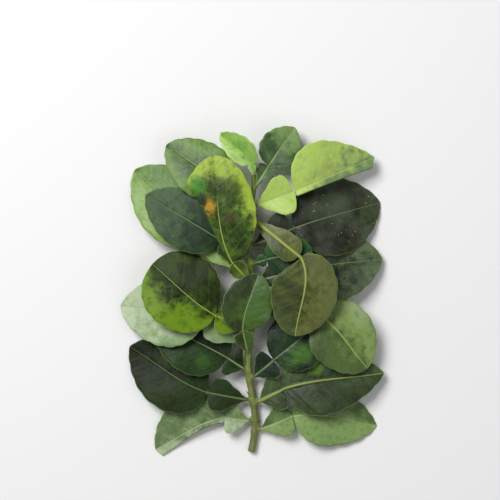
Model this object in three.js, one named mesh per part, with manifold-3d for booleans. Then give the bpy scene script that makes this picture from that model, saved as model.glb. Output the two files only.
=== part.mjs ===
// Makrut lime sprig, as picked and laid down: a thorny green twig with its winged double leaves.
// Millimetres, +Z up. The twig's cut end is towards -Y and its growing tip towards +Y.
// The origin is on the surface that the sprig lies on, at the middle of its box.
import * as THREE from "three";
import { mergeVertices } from "three/addons/utils/BufferGeometryUtils.js";
import Module from "manifold-3d";

// Middle of the sprig's box, where the origin is moved to
const MIDDLE_X = 0.48;
const MIDDLE_Y = 1.72;

// Twig
const TWIG_START = -92; // y of the cut end
const TWIG_LENGTH = 160;
const TWIG_RADIUS_AT_CUT = 2.2;
const TWIG_RADIUS_AT_TIP = 1.2;
const TWIG_SWAY = 2.2; // sideways, from node to node
const TWIG_SWAY_TURNS = 2.3;
const TWIG_LOWEST = 1.85; // height of the centreline at the cut end
const TWIG_RISE = 11.5; // the leaves below hold the growing tip up by this much
const TWIG_RISE_POWER = 1.3; // more than 1 keeps the cut end flat on the surface for longer
const TWIG_SWAY_LOSS = 0.4; // share of the sway that is gone at the growing tip
const TWIG_SIDES = 8;
const TWIG_STEPS = 22;

// Cushions, thorns and buds that grow on the twig
const CUSHION_REACH = 2.0; // beyond the twig's skin
const CUSHION_RADIUS = 1.5;
const CUSHION_END_RADIUS = 1.15;
const THORN_LENGTH = 6.5;
const THORN_RADIUS = 0.75;
const THORN_LEAN = new THREE.Vector3(0, 1.2, 0.5); // turns a thorn off its leaf, towards the tip
const THORN_EVERY = 3; // leaves from one thorn to the next
const THORN_LIMIT = 0.6; // a leaf that points this far up the twig leaves its thorn no room
const BUD_RADIUS = 1.05;
const BUD_PLACE = new THREE.Vector3(0, 1.3, 0.2); // from the foot of the leaf, in its corner
const LEAF_GAP = 0.3; // between a cushion's end and the stalk that it carries
const STALK_RISE = 0.25; // how steeply a stalk leaves its cushion

// Leaves
const BLADE_THICKNESS = 0.7;
const STALK_HALF_WIDTH = 1.0;
const JOINT_HALF_WIDTH = 0.9;
const RIB_AT_STALK = 1.1; // how far the rib stands out of the underside
const RIB_AT_JOINT = 0.85;
const RIB_AT_TIP = 0.1;
const RIB_HALF_WIDTH = 1.1;
const RIB_SHARE = 0.6; // of the half width, where the leaf is narrower than its rib
const MIDWAY = 0.58; // place of the points between the rib and the margin
const WING_STEPS = 8;
const BLADE_STEPS = 18; // two for each scallop of the margin
const SMALL_BLADE_STEPS = 14;
const SMALL_BLADE = 30; // width below which a blade counts as small
const SCALLOP_DEPTH = 0.6;
const SCALLOPED_FROM = 3; // half width from which a wing's margin is scalloped
const RIPPLES = 2.5; // waves of the margin along a blade
const RIPPLE_HEIGHT = 0.8;
const RIPPLE_SHIFT = 2; // radians by which the right margin's waves run ahead of the left's
const WING_REACH = 0.96; // the wing ends just before the joint, which is a bare stalk
const WING_FOOT_POWER = 1.5; // how slowly the wing widens from its foot
const ROUND_POWER = 0.5; // rounds the outer end of a wing and the foot of a blade
const FOLLOW = 0.6; // how far a blade sets out in the direction of its wing, and not of its own tip
const TUCK_LAYER = 0.6; // thickness of the part of a blade that is folded under
const TUCK_DROOP = 0.7; // how far a blade bends down at such a fold

// Each leaf leaves the twig at a y, has its joint between wing and blade at one point and its tip at
// another. wing and blade are widths, and arch says how far the first and the last third of the blade
// stand above the joint and the tip. roll lifts its left edge, fold is how steeply the left and the
// right half rise from the rib, curl is how much less steep the margin is, point is 0.5 for a round
// tip and more for a pointed one, and a leaf with face -1 lies with its underside up. tucked is a blade
// whose margin is folded under on one side, 1 for its left: the fold runs start beyond the rib at the
// joint and growth further out at the tip. Lengths in mm, angles in degrees.
const LEAVES = [
  { name: "leaf_01", y: -80, joint: [24, -71, 4.5], tip: [73, -77, 0.3], wing: 19, blade: 34,
    arch: [3, 0], roll: -5, fold: [8, 8], curl: 16, point: 0.8, face: 1 },
  { name: "leaf_02", y: -74, joint: [-16, -72, 4.5], tip: [-56, -90.66, 0.3], wing: 17, blade: 36,
    arch: [3, 0], roll: 6, fold: [8, 14], curl: 12, point: 0.7, face: 1,
    tucked: { side: 1, start: 2, growth: 3 } },
  { name: "leaf_03", y: -64, joint: [19, -55, 7.5], tip: [77, -46, 6], wing: 21, blade: 40,
    arch: [4, 3], roll: -7, fold: [8, 8], curl: 16, point: 0.9, face: -1 },
  { name: "leaf_04", y: -62, joint: [-26, -57, 8], tip: [-71, -31, 0.3], wing: 19, blade: 40,
    arch: [3, 0], roll: 6, fold: [8, 8], curl: 16, point: 0.75, face: 1 },
  { name: "leaf_05", y: -50, joint: [13, -38, 9.5], tip: [48, -10, 8], wing: 18, blade: 34,
    arch: [3, 3], roll: -4, fold: [6, 6], curl: 12, point: 0.8, face: 1 },
  { name: "leaf_06", y: -45, joint: [-14, -37, 9], tip: [-58, -15, 7], wing: 18.5, blade: 38,
    arch: [4, 2], roll: 8, fold: [8, 8], curl: 16, point: 0.75, face: 1 },
  { name: "leaf_07", y: -36, joint: [-5, -21, 17], tip: [4, 12, 18], wing: 11, blade: 28,
    arch: [3, 1], roll: 0, fold: [8, 8], curl: 12, point: 0.7, face: 1 },
  { name: "leaf_08", y: -29, joint: [-27, -15, 13.5], tip: [-76, -7, 2.5], wing: 18, blade: 40,
    arch: [4, 3], roll: 8, fold: [6, 6], curl: 12, point: 0.7, face: 1 },
  { name: "leaf_09", y: -21, joint: [-21, -12, 17.8], tip: [-57, 17, 13], wing: 16.5, blade: 45,
    arch: [4, 4], roll: 7, fold: [5, 5], curl: 10, point: 0.48, face: 1 },
  { name: "leaf_10", y: -6, joint: [36, -11, 13], tip: [67, -43, 10.5], wing: 22, blade: 38,
    arch: [3, 3], roll: -4, fold: [6, 6], curl: 12, point: 0.62, face: -1 },
  { name: "leaf_11", y: 5, joint: [-11, 18, 21], tip: [-22, 79, 22.2], wing: 10, blade: 42,
    arch: [4, 4], roll: 0, fold: [-2, 8], curl: 12, point: 0.58, face: 1,
    tucked: { side: 1, start: 1, growth: 26 } },
  { name: "leaf_12", y: 7, joint: [27, 14, 14.5], tip: [76, 20, 4], wing: 24, blade: 42,
    arch: [4, 3], roll: -7, fold: [6, 6], curl: 12, point: 0.75, face: 1 },
  { name: "leaf_13", y: 10, joint: [-27, 34, 9.2], tip: [-68, 72, 0.3], wing: 18.5, blade: 42,
    arch: [4, 0], roll: 4, fold: [6, 6], curl: 12, point: 0.7, face: 1 },
  { name: "leaf_14", y: 20, joint: [-18, 31, 17.4], tip: [-61, 57, 10], wing: 15, blade: 34,
    arch: [3, 3], roll: 3, fold: [6, 6], curl: 12, point: 0.72, face: 1 },
  { name: "leaf_15", y: 27, joint: [25, 38, 15], tip: [75, 53, 0.3], wing: 24, blade: 46,
    arch: [4, 0], roll: -7, fold: [6, 6], curl: 12, point: 0.72, face: 1 },
  { name: "leaf_16", y: 44, joint: [28, 21, 23], tip: [25, -24, 19], wing: 15, blade: 37,
    arch: [2, 2], roll: 0, fold: [6, 6], curl: 12, point: 0.6, face: -1 },
  { name: "leaf_17", y: 50, joint: [-14, 61, 16.4], tip: [-49, 86, 10], wing: 17, blade: 32,
    arch: [3, 3], roll: 6, fold: [6, 6], curl: 12, point: 0.7, face: 1 },
  { name: "leaf_18", y: 50, joint: [25, 59, 18], tip: [71, 79, 7], wing: 23, blade: 43,
    arch: [4, 3], roll: -8, fold: [16, 12], curl: 12, point: 0.9, face: 1,
    tucked: { side: -1, start: 2.5, growth: 3 } },
  { name: "leaf_19", y: 60, joint: [10, 74, 13], tip: [25, 96.1, 9], wing: 10, blade: 23,
    arch: [2, 1], roll: 0, fold: [12, 12], curl: 12, point: 0.75, face: 1 },
  { name: "leaf_20", y: 66, joint: [0, 74, 16], tip: [-18, 92.5, 14.5], wing: 6, blade: 19,
    arch: [1, 1], roll: 0, fold: [46, 46], curl: 10, point: 0.8, face: 1 },
  { name: "leaf_21", y: 17, joint: [8.5, 20, 17.1], tip: [35, 25, 18.9], wing: 7, blade: 24,
    arch: [2, 2], roll: 0, fold: [5, 5], curl: 12, point: 0.7, face: 1 },
];

const wasm = await Module();
wasm.setup();

const vector = (point) => new THREE.Vector3(...point);
const blend = THREE.MathUtils.lerp;
const radians = THREE.MathUtils.degToRad;
const UP = new THREE.Vector3(0, 0, 1);

function solidOf(geometry) {
  const bare = new THREE.BufferGeometry();
  bare.setAttribute("position", geometry.getAttribute("position").clone());
  if (geometry.index) bare.setIndex(geometry.index.clone());
  const merged = mergeVertices(bare, 1e-4);
  const triVerts = new Uint32Array(merged.index.array);
  const vertProperties = merged.attributes.position.array;
  return new wasm.Manifold(new wasm.Mesh({ numProp: 3, vertProperties, triVerts }));
}

function geometryOf(solid) {
  const { vertProperties, triVerts } = solid.getMesh();
  const geometry = new THREE.BufferGeometry();
  geometry.setAttribute("position", new THREE.BufferAttribute(vertProperties, 3));
  geometry.setIndex(new THREE.BufferAttribute(triVerts, 1));
  geometry.computeVertexNormals();
  return geometry;
}

// Cuts off what would reach below the surface, so that each low point has a small flat spot.
function restOnSurface(solid) {
  const size = 400;
  const below = new THREE.BoxGeometry(size, size, size).translate(0, 0, -size / 2);
  return solid.subtract(solidOf(below));
}

// A closed skin over rings of points, all with the same count, with a flat cap at each end.
function loft(rings) {
  const sides = rings[0].length;
  const points = rings.flat();
  const faces = [];
  for (let ring = 0; ring + 1 < rings.length; ring++)
    for (let side = 0; side < sides; side++) {
      const a = ring * sides + side;
      const b = ring * sides + ((side + 1) % sides);
      faces.push(a, b, b + sides, a, b + sides, a + sides);
    }
  const last = (rings.length - 1) * sides;
  for (let side = 1; side + 1 < sides; side++) {
    faces.push(0, side + 1, side);
    faces.push(last, last + side, last + side + 1);
  }
  const geometry = new THREE.BufferGeometry().setFromPoints(points);
  geometry.setIndex(faces);
  return geometry;
}

class TwigLine extends THREE.Curve {
  getPoint(share, target = new THREE.Vector3()) {
    const sway = TWIG_SWAY * Math.sin(TWIG_SWAY_TURNS * 2 * Math.PI * share) * (1 - TWIG_SWAY_LOSS * share);
    const height = TWIG_LOWEST + TWIG_RISE * Math.pow(Math.sin((Math.PI / 2) * share), TWIG_RISE_POWER);
    return target.set(sway, TWIG_START + TWIG_LENGTH * share, height);
  }
}
const twigLine = new TwigLine();
const twigRadius = (share) => blend(TWIG_RADIUS_AT_CUT, TWIG_RADIUS_AT_TIP, share);

// Where a leaf leaves the twig: the point on the centreline, the way out, and the twig's radius.
function nodeOf(leaf) {
  const share = (leaf.y - TWIG_START) / TWIG_LENGTH;
  const centre = twigLine.getPoint(share);
  const out = vector(leaf.joint).sub(centre).normalize().addScaledVector(UP, STALK_RISE).normalize();
  return { centre, out, radius: twigRadius(share) };
}

// A round piece along an axis, from its foot, moved into place.
function placed(geometry, length, foot, direction) {
  geometry.translate(0, length / 2, 0);
  geometry.applyQuaternion(
    new THREE.Quaternion().setFromUnitVectors(new THREE.Vector3(0, 1, 0), direction),
  );
  return solidOf(geometry.translate(foot.x, foot.y, foot.z));
}

function cushion({ centre, out, radius }) {
  const length = radius + CUSHION_REACH;
  const cone = new THREE.CylinderGeometry(CUSHION_END_RADIUS, CUSHION_RADIUS, length, 6);
  return placed(cone, length, centre, out);
}

function thorn({ centre, out, radius }) {
  const direction = out.clone().add(THORN_LEAN).normalize();
  const length = radius + THORN_LENGTH;
  return placed(new THREE.ConeGeometry(THORN_RADIUS, length, 6), length, centre, direction);
}

function bud({ centre, out, radius }) {
  const ball = new THREE.IcosahedronGeometry(BUD_RADIUS);
  const place = centre.clone().addScaledVector(out, radius).add(BUD_PLACE);
  return solidOf(ball.translate(place.x, place.y, place.z));
}

function twig() {
  const rings = [];
  for (let step = 0; step <= TWIG_STEPS; step++) {
    const share = step / TWIG_STEPS;
    const centre = twigLine.getPoint(share);
    const along = twigLine.getTangent(share);
    const side = new THREE.Vector3().crossVectors(along, UP).normalize();
    const top = new THREE.Vector3().crossVectors(side, along);
    const ring = [];
    for (let corner = 0; corner < TWIG_SIDES; corner++) {
      const angle = (2 * Math.PI * corner) / TWIG_SIDES;
      ring.push(
        centre
          .clone()
          .addScaledVector(side, twigRadius(share) * Math.cos(angle))
          .addScaledVector(top, twigRadius(share) * Math.sin(angle)),
      );
    }
    rings.push(ring.reverse());
  }
  let solid = solidOf(loft(rings));
  LEAVES.forEach((leaf, index) => {
    const node = nodeOf(leaf);
    solid = solid.add(cushion(node)).add(bud(node));
    if (index % THORN_EVERY === 0 && node.out.y < THORN_LIMIT) solid = solid.add(thorn(node));
  });
  return restOnSurface(solid);
}

// A hump from 0 over 1 to 0. The smaller a power, the rounder the hump is at that end.
function humpOf(u, footPower, endPower) {
  const shape = (v) => Math.pow(v, footPower) * Math.pow(1 - v, endPower);
  return shape(u) / shape(footPower / (footPower + endPower));
}

// The outline of a wing: narrow at its foot, widest near its outer end, and round there.
function wingHalfWidth(leaf, u) {
  const v = Math.min(u / WING_REACH, 1);
  const full = humpOf(v, WING_FOOT_POWER, ROUND_POWER);
  const stalk = blend(STALK_HALF_WIDTH, JOINT_HALF_WIDTH, u);
  return stalk + (leaf.wing / 2 - stalk) * full;
}

// The outline of a blade: round at the joint, widest before its middle, narrowing to its tip.
function bladeHalfWidth(leaf, u) {
  const full = humpOf(u, ROUND_POWER, leaf.point);
  const neck = JOINT_HALF_WIDTH * (1 - u);
  return neck + (leaf.blade / 2 - neck) * full;
}

// How far a blade reaches from its rib to one side, 1 for its left, at a share of its length.
function reachOf({ tucked }, side, u, halfWidth) {
  if (tucked?.side !== side) return halfWidth;
  return Math.min(halfWidth, tucked.start + tucked.growth * u * u);
}

// One cross-row of a leaf: its place and frame on the rib's line, its widths, rib and ripple.
function row(curve, u, rollDegrees, shape) {
  const along = curve.getTangent(u);
  const side = new THREE.Vector3().crossVectors(UP, along).normalize();
  const top = new THREE.Vector3().crossVectors(along, side);
  const roll = radians(rollDegrees);
  return {
    centre: curve.getPoint(u),
    side: side.clone().multiplyScalar(Math.cos(roll)).addScaledVector(top, Math.sin(roll)),
    top: top.clone().multiplyScalar(Math.cos(roll)).addScaledVector(side, -Math.sin(roll)),
    ...shape,
  };
}

function wingLine(leaf) {
  const { centre, out, radius } = nodeOf(leaf);
  const foot = centre.clone().addScaledVector(out, radius + CUSHION_REACH + LEAF_GAP);
  foot.z += RIB_AT_STALK / 2;
  const joint = vector(leaf.joint);
  const bend = foot.clone().addScaledVector(out, foot.distanceTo(joint) / 2);
  return new THREE.QuadraticBezierCurve3(foot, bend, joint);
}

function bladeLine(leaf, wing) {
  const joint = wing.v2;
  const tip = vector(leaf.tip);
  const chord = tip.clone().sub(joint).setZ(0);
  const third = chord.length() / 3;
  const ahead = chord.normalize();
  const setOut = ahead.clone().lerp(wing.getTangent(1).setZ(0), FOLLOW).normalize();
  const first = joint.clone().addScaledVector(setOut, third);
  const last = tip.clone().addScaledVector(ahead, -third);
  first.z += leaf.arch[0];
  last.z += leaf.arch[1];
  return new THREE.CubicBezierCurve3(joint, first, last, tip);
}

function rowsOf(leaf) {
  const wing = wingLine(leaf);
  const blade = bladeLine(leaf, wing);
  const rows = [];
  for (let step = 0; step <= WING_STEPS; step++) {
    const u = Math.sin(((Math.PI / 2) * step) / WING_STEPS);
    const bare = wingHalfWidth(leaf, u);
    const scallop = step % 2 && bare > SCALLOPED_FROM ? SCALLOP_DEPTH : 0;
    const rib = blend(RIB_AT_STALK, RIB_AT_JOINT, u);
    const halfWidth = bare + scallop;
    const reach = { "-1": halfWidth, 1: halfWidth };
    rows.push(row(wing, u, leaf.roll * u, { halfWidth, reach, rib, ripple: 0, phase: 0 }));
  }
  const last = leaf.blade < SMALL_BLADE ? SMALL_BLADE_STEPS : BLADE_STEPS;
  for (let step = 1; step <= last; step++) {
    const share = step / last;
    const u = (1 - Math.cos(Math.PI * share)) / 2;
    const scallop = step % 2 ? SCALLOP_DEPTH : 0;
    const halfWidth = bladeHalfWidth(leaf, u) + (step < last ? scallop : 0);
    const reach = { "-1": reachOf(leaf, -1, u, halfWidth), 1: reachOf(leaf, 1, u, halfWidth) };
    rows.push(
      row(blade, u, leaf.roll, {
        halfWidth,
        reach,
        rib: blend(RIB_AT_JOINT, RIB_AT_TIP, u),
        ripple: RIPPLE_HEIGHT * Math.sin(Math.PI * share),
        phase: 2 * Math.PI * RIPPLES * share,
      }),
    );
  }
  return rows;
}

// The leaf's middle surface at a distance across from the rib, left positive.
function surfacePoint(leaf, { centre, side, top, halfWidth, reach, ripple, phase }, across) {
  const share = Math.abs(across) / (leaf.blade / 2);
  const fold = leaf.fold[across > 0 ? 0 : 1];
  const slope = radians(fold - (leaf.curl * share) / 2);
  const wave = ripple * share * share * Math.sin(phase + (across > 0 ? 0 : RIPPLE_SHIFT));
  const limit = reach[Math.sign(across) || 1];
  const droop = limit < halfWidth && Math.abs(across) === limit ? TUCK_DROOP : 0;
  return centre
    .clone()
    .addScaledVector(side, across * Math.cos(slope))
    .addScaledVector(top, Math.abs(across) * Math.sin(slope) + wave - droop);
}

function leafSolid(leaf) {
  const rows = rowsOf(leaf);
  const placesTo = (reach) => {
    const rib = Math.min(RIB_HALF_WIDTH, reach * RIB_SHARE);
    return [rib, Math.max(reach * MIDWAY, blend(rib, reach, 0.5)), reach];
  };
  const placesOf = ({ reach }) => {
    const right = placesTo(reach[-1]).map((place) => -place);
    return [...right.reverse(), 0, ...placesTo(reach[1])];
  };
  const columns = 7;
  const middle = (columns - 1) / 2;
  const grid = rows.map((r) => placesOf(r).map((across) => surfacePoint(leaf, r, across)));
  const points = [];
  for (let i = 0; i < rows.length; i++)
    for (let j = 0; j < columns; j++) {
      const before = grid[Math.max(i - 1, 0)][j];
      const after = grid[Math.min(i + 1, rows.length - 1)][j];
      const right = grid[i][Math.max(j - 1, 0)];
      const left = grid[i][Math.min(j + 1, columns - 1)];
      const along = after.clone().sub(before);
      const across = left.clone().sub(right);
      const normal = new THREE.Vector3().crossVectors(along, across);
      if (i === rows.length - 1) normal.copy(rows[i].top);
      normal.normalize();
      const rib = j === middle ? rows[i].rib : 0;
      const isTucked = rows[i].reach[Math.sign(j - middle) || 1] < rows[i].halfWidth;
      const layer = isTucked && Math.abs(j - middle) > 1 ? TUCK_LAYER : 0;
      const over = BLADE_THICKNESS / 2 + (leaf.face < 0 ? rib : 0);
      const under = BLADE_THICKNESS / 2 + (leaf.face > 0 ? rib : 0) + layer;
      points.push(grid[i][j].clone().addScaledVector(normal, over));
      points.push(grid[i][j].clone().addScaledVector(normal, -under));
    }
  const index = (i, j, below) => 2 * (i * columns + j) + below;
  const faces = [];
  const last = rows.length - 1;
  for (let i = 0; i < last; i++)
    for (let j = 0; j + 1 < columns; j++)
      for (const below of [0, 1]) {
        const corners = [index(i, j, below), index(i + 1, j, below)];
        corners.push(index(i + 1, j + 1, below), index(i, j + 1, below));
        const order = below ? [0, 2, 1, 0, 3, 2] : [0, 1, 2, 0, 2, 3];
        faces.push(...order.map((corner) => corners[corner]));
      }
  for (let i = 0; i < last; i++) {
    faces.push(index(i, 0, 0), index(i, 0, 1), index(i + 1, 0, 1));
    faces.push(index(i, 0, 0), index(i + 1, 0, 1), index(i + 1, 0, 0));
    const edge = columns - 1;
    faces.push(index(i, edge, 0), index(i + 1, edge, 1), index(i, edge, 1));
    faces.push(index(i, edge, 0), index(i + 1, edge, 0), index(i + 1, edge, 1));
  }
  for (let j = 0; j + 1 < columns; j++) {
    faces.push(index(0, j, 0), index(0, j + 1, 1), index(0, j, 1));
    faces.push(index(0, j, 0), index(0, j + 1, 0), index(0, j + 1, 1));
  }
  const geometry = new THREE.BufferGeometry().setFromPoints(points);
  geometry.setIndex(faces);
  return restOnSurface(solidOf(geometry));
}

const sprig = new THREE.Group();

function addMesh(name, solid, material) {
  const mesh = new THREE.Mesh(geometryOf(solid), material);
  mesh.name = name;
  sprig.add(mesh);
}

const leafGreen = new THREE.MeshStandardMaterial({ color: 0x4a6b2c, roughness: 0.5 });
const twigGreen = new THREE.MeshStandardMaterial({ color: 0x7f8f45, roughness: 0.7 });
addMesh("twig", twig(), twigGreen);
for (const leaf of LEAVES) addMesh(leaf.name, leafSolid(leaf), leafGreen);
sprig.position.set(-MIDDLE_X, -MIDDLE_Y, 0);

export default sprig;
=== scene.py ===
"""Makrut lime sprig: its twig and its winged double leaves, laid on a pale floor in soft studio light.

Sizes are in millimetres, as in the part's solids, and become metres where a mesh is finished.
"""
import logging
import math
from dataclasses import dataclass
from enum import Enum

import bmesh
import bpy
import numpy as np
from mathutils import Matrix, Vector, noise

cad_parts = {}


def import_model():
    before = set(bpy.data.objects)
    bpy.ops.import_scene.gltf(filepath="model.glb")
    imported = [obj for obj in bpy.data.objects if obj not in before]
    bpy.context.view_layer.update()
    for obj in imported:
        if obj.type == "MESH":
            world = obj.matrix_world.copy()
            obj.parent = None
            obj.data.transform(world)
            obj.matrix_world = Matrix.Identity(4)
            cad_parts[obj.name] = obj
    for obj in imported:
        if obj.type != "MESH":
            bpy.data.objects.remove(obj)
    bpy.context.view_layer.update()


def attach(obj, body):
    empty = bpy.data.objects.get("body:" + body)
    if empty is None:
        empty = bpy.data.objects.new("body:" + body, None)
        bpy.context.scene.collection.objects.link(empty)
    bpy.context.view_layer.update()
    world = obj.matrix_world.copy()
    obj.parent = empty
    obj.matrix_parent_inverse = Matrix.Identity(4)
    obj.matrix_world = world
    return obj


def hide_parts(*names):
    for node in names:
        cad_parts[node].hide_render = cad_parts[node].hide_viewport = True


MM = 0.001
MIDDLE_X = 0.48
MIDDLE_Y = 1.72
UP = np.array([0.0, 0.0, 1.0])
NEARLY_UP = UP + np.array([0.01, 0.0, 0.0])
BODY = "root"

Rgb = tuple[int, int, int]
log = logging.getLogger("sprig")


def linear(colour: Rgb) -> tuple[float, float, float, float]:
    """Turn a screen colour into the linear one that shaders take.

    Args:
        colour: red, green and blue from 0 to 255.

    Returns:
        Linear red, green and blue, with an alpha of 1.
    """
    shares = [value / 255 for value in colour]
    low, low_slope, knee, power = 0.04045, 12.92, 0.055, 2.4
    parts = [s / low_slope if s <= low else ((s + knee) / (1 + knee)) ** power for s in shares]
    return (parts[0], parts[1], parts[2], 1.0)


def unit(vectors: np.ndarray) -> np.ndarray:
    """Scale each vector of the last axis to length 1."""
    lengths = np.linalg.norm(vectors, axis=-1, keepdims=True)
    return vectors / np.maximum(lengths, 1e-9)


def bezier(controls: np.ndarray, shares: np.ndarray) -> np.ndarray:
    """Return the points of a Bezier curve at shares of its parameter."""
    last = len(controls) - 1
    weights = [math.comb(last, k) * shares**k * (1 - shares) ** (last - k) for k in range(last + 1)]
    return np.stack(weights, axis=-1) @ controls


def smooth_step(low: float, high: float, value: np.ndarray) -> np.ndarray:
    """Rise smoothly from 0 at low to 1 at high."""
    share = np.clip((value - low) / (high - low), 0.0, 1.0)
    return share * share * (3 - 2 * share)


class NodeBoard:
    """One material's node tree, with short calls for the nodes that the finishes use."""

    def __init__(self, name: str) -> None:
        """Make an empty material with a Principled shader.

        Args:
            name: the material's name.
        """
        self.material = bpy.data.materials.new(name)
        self.material.use_nodes = True
        self.nodes = self.material.node_tree.nodes
        self.shader = self.nodes["Principled BSDF"]

    def put(self, socket: bpy.types.NodeSocket, value: object) -> None:
        """Link an output to a socket, or set the socket to a plain value."""
        if isinstance(value, bpy.types.NodeSocket):
            self.material.node_tree.links.new(value, socket)
        else:
            socket.default_value = value

    def math(self, operation: str, *values: object, clamp: bool = False) -> bpy.types.NodeSocket:
        """Add a Math node.

        Args:
            operation: Blender's name of the operation.
            values: outputs or numbers, one for each input.
            clamp: whether the result is kept from 0 to 1.

        Returns:
            The result's output.
        """
        node = self.nodes.new("ShaderNodeMath")
        node.operation = operation
        node.use_clamp = clamp
        for socket, value in zip(node.inputs, values):
            self.put(socket, value)
        return node.outputs[0]

    def blend(self, terms: tuple[tuple[object, float], ...], start: float = 0.0) -> bpy.types.NodeSocket:
        """Add up outputs, each times its weight, from a start."""
        total: object = start
        for value, weight in terms:
            node = self.nodes.new("ShaderNodeMath")
            node.operation = "MULTIPLY_ADD"
            for socket, given in zip(node.inputs, (value, weight, total)):
                self.put(socket, given)
            total = node.outputs[0]
        return total

    def step(self, value: object, low: float, high: float, top: float = 1.0) -> bpy.types.NodeSocket:
        """Rise smoothly from 0 where the value is low to top where it is high."""
        node = self.nodes.new("ShaderNodeMapRange")
        node.interpolation_type = "SMOOTHSTEP"
        for socket, given in zip(node.inputs, (value, low, high, 0.0, top)):
            self.put(socket, given)
        return node.outputs[0]

    def fade(self, value: object, low: float, high: float, top: float = 1.0) -> bpy.types.NodeSocket:
        """Fall smoothly from top where the value is low to 0 where it is high."""
        node = self.nodes.new("ShaderNodeMapRange")
        node.interpolation_type = "SMOOTHSTEP"
        for socket, given in zip(node.inputs, (value, low, high, top, 0.0)):
            self.put(socket, given)
        return node.outputs[0]

    def mix(self, share: object, first: object, second: object) -> bpy.types.NodeSocket:
        """Go from the first colour to the second as the share goes from 0 to 1."""
        node = self.nodes.new("ShaderNodeMix")
        node.data_type = "RGBA"
        for name, value in (("Factor_Float", share), ("A_Color", first), ("B_Color", second)):
            socket = next(s for s in node.inputs if s.identifier == name)
            self.put(socket, linear(value) if isinstance(value, tuple) else value)
        return next(s for s in node.outputs if s.identifier == "Result_Color")

    def attribute(self, name: str) -> tuple[bpy.types.NodeSocket, ...]:
        """Read a vector attribute of the piece and return its three parts, then the whole."""
        node = self.nodes.new("ShaderNodeAttribute")
        node.attribute_name = name
        parts = self.nodes.new("ShaderNodeSeparateXYZ")
        self.put(parts.inputs[0], node.outputs["Vector"])
        return (*parts.outputs[:3], node.outputs["Vector"])

    def vector(self, x: object, y: object, z: object) -> bpy.types.NodeSocket:
        """Join three numbers to a vector."""
        node = self.nodes.new("ShaderNodeCombineXYZ")
        for socket, value in zip(node.inputs, (x, y, z)):
            self.put(socket, value)
        return node.outputs[0]

    def noise(self, where: bpy.types.NodeSocket, size: float, detail: float = 2.0) -> bpy.types.NodeSocket:
        """Add a noise whose blotches are about as wide as size, in the coordinate's own unit."""
        node = self.nodes.new("ShaderNodeTexNoise")
        for name, value in (("Vector", where), ("Scale", 1 / size), ("Detail", detail)):
            self.put(node.inputs[name], value)
        return node.outputs[0]

    def cells(self, where: bpy.types.NodeSocket, size: float, feature: str) -> bpy.types.NodeSocket:
        """Add cells about as wide as size, and return the distance that the feature names."""
        node = self.nodes.new("ShaderNodeTexVoronoi")
        node.feature = feature
        self.put(node.inputs["Vector"], where)
        self.put(node.inputs["Scale"], 1 / size)
        return node.outputs["Distance"]

    def bump(self, height: bpy.types.NodeSocket, depth: float) -> None:
        """Raise the surface by the height times the depth, in metres."""
        node = self.nodes.new("ShaderNodeBump")
        for name, value in (("Height", height), ("Distance", depth), ("Strength", 1.0)):
            self.put(node.inputs[name], value)
        self.put(self.shader.inputs["Normal"], node.outputs[0])


class Piece:
    """A finished mesh of the sprig, which rides with the root body."""

    def __init__(self, name: str, slot: str) -> None:
        """Start an empty mesh.

        Args:
            name: the object's name.
            slot: the name of a material slot; it is not used.
        """
        self.name = name
        self.slot = slot
        self.mesh = bmesh.new()

    def finish(self, material: bpy.types.Material, *nodes: str) -> bpy.types.Object:
        """Turn the mesh, in millimetres round the twig, into an object in the frame.

        Args:
            material: the finish of the whole piece.
            nodes: the solids that the piece stands for.

        Returns:
            The object, with its place in its mesh.
        """
        shift = Matrix.Translation((-MIDDLE_X * MM, -MIDDLE_Y * MM, 0.0))
        self.mesh.transform(shift @ Matrix.Scale(MM, 4))
        data = bpy.data.meshes.new(self.name)
        self.mesh.to_mesh(data)
        self.mesh.free()
        data.shade_smooth()
        data.materials.append(material)
        shown = bpy.data.objects.new(self.name, data)
        bpy.context.scene.collection.objects.link(shown)
        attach(shown, BODY)
        if nodes:
            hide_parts(*nodes)
        log.info("%s: %d faces", self.name, len(data.polygons))
        return shown


@dataclass(frozen=True)
class TwigLine:
    """The centreline that the stem follows and that the leaves grow from."""

    start: float = -92.0
    length: float = 160.0
    radius_at_cut: float = 2.2
    radius_at_tip: float = 1.2
    sway: float = 2.2
    sway_turns: float = 2.3
    sway_loss: float = 0.4
    lowest: float = 1.85
    rise: float = 11.5
    rise_power: float = 1.3
    cushion_reach: float = 2.0
    stalk_rise: float = 0.25

    def share(self, y: float) -> float:
        """Return how far along the twig a y lies, from 0 at the cut end to 1 at the tip."""
        return (y - self.start) / self.length

    def point(self, share: float) -> np.ndarray:
        """Return the centre of the stem at a share of its length."""
        sway = self.sway * math.sin(self.sway_turns * 2 * math.pi * share) * (1 - self.sway_loss * share)
        height = self.lowest + self.rise * max(math.sin(math.pi / 2 * share), 0.0) ** self.rise_power
        return np.array([sway, self.start + self.length * share, height])

    def radius(self, share: float) -> float:
        """Return the stem's radius at a share of its length."""
        return self.radius_at_cut + (self.radius_at_tip - self.radius_at_cut) * share

    def ahead(self, share: float) -> np.ndarray:
        """Return the direction towards the growing tip at a share of the length."""
        step = 1e-3
        return unit(self.point(min(share + step, 1.0)) - self.point(max(share - step, 0.0)))

    def way_out(self, y: float, joint: tuple[float, float, float]) -> np.ndarray:
        """Return the direction in which a leaf with this joint leaves the stem at a y."""
        level = unit(np.array(joint) - self.point(self.share(y)))
        return unit(level + UP * self.stalk_rise)

    def cushion_end(self, y: float, out: np.ndarray) -> np.ndarray:
        """Return where a leaf's cushion ends, beyond the skin of the stem."""
        share = self.share(y)
        return self.point(share) + out * (self.radius(share) + self.cushion_reach)


TWIG_LINE = TwigLine()


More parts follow.
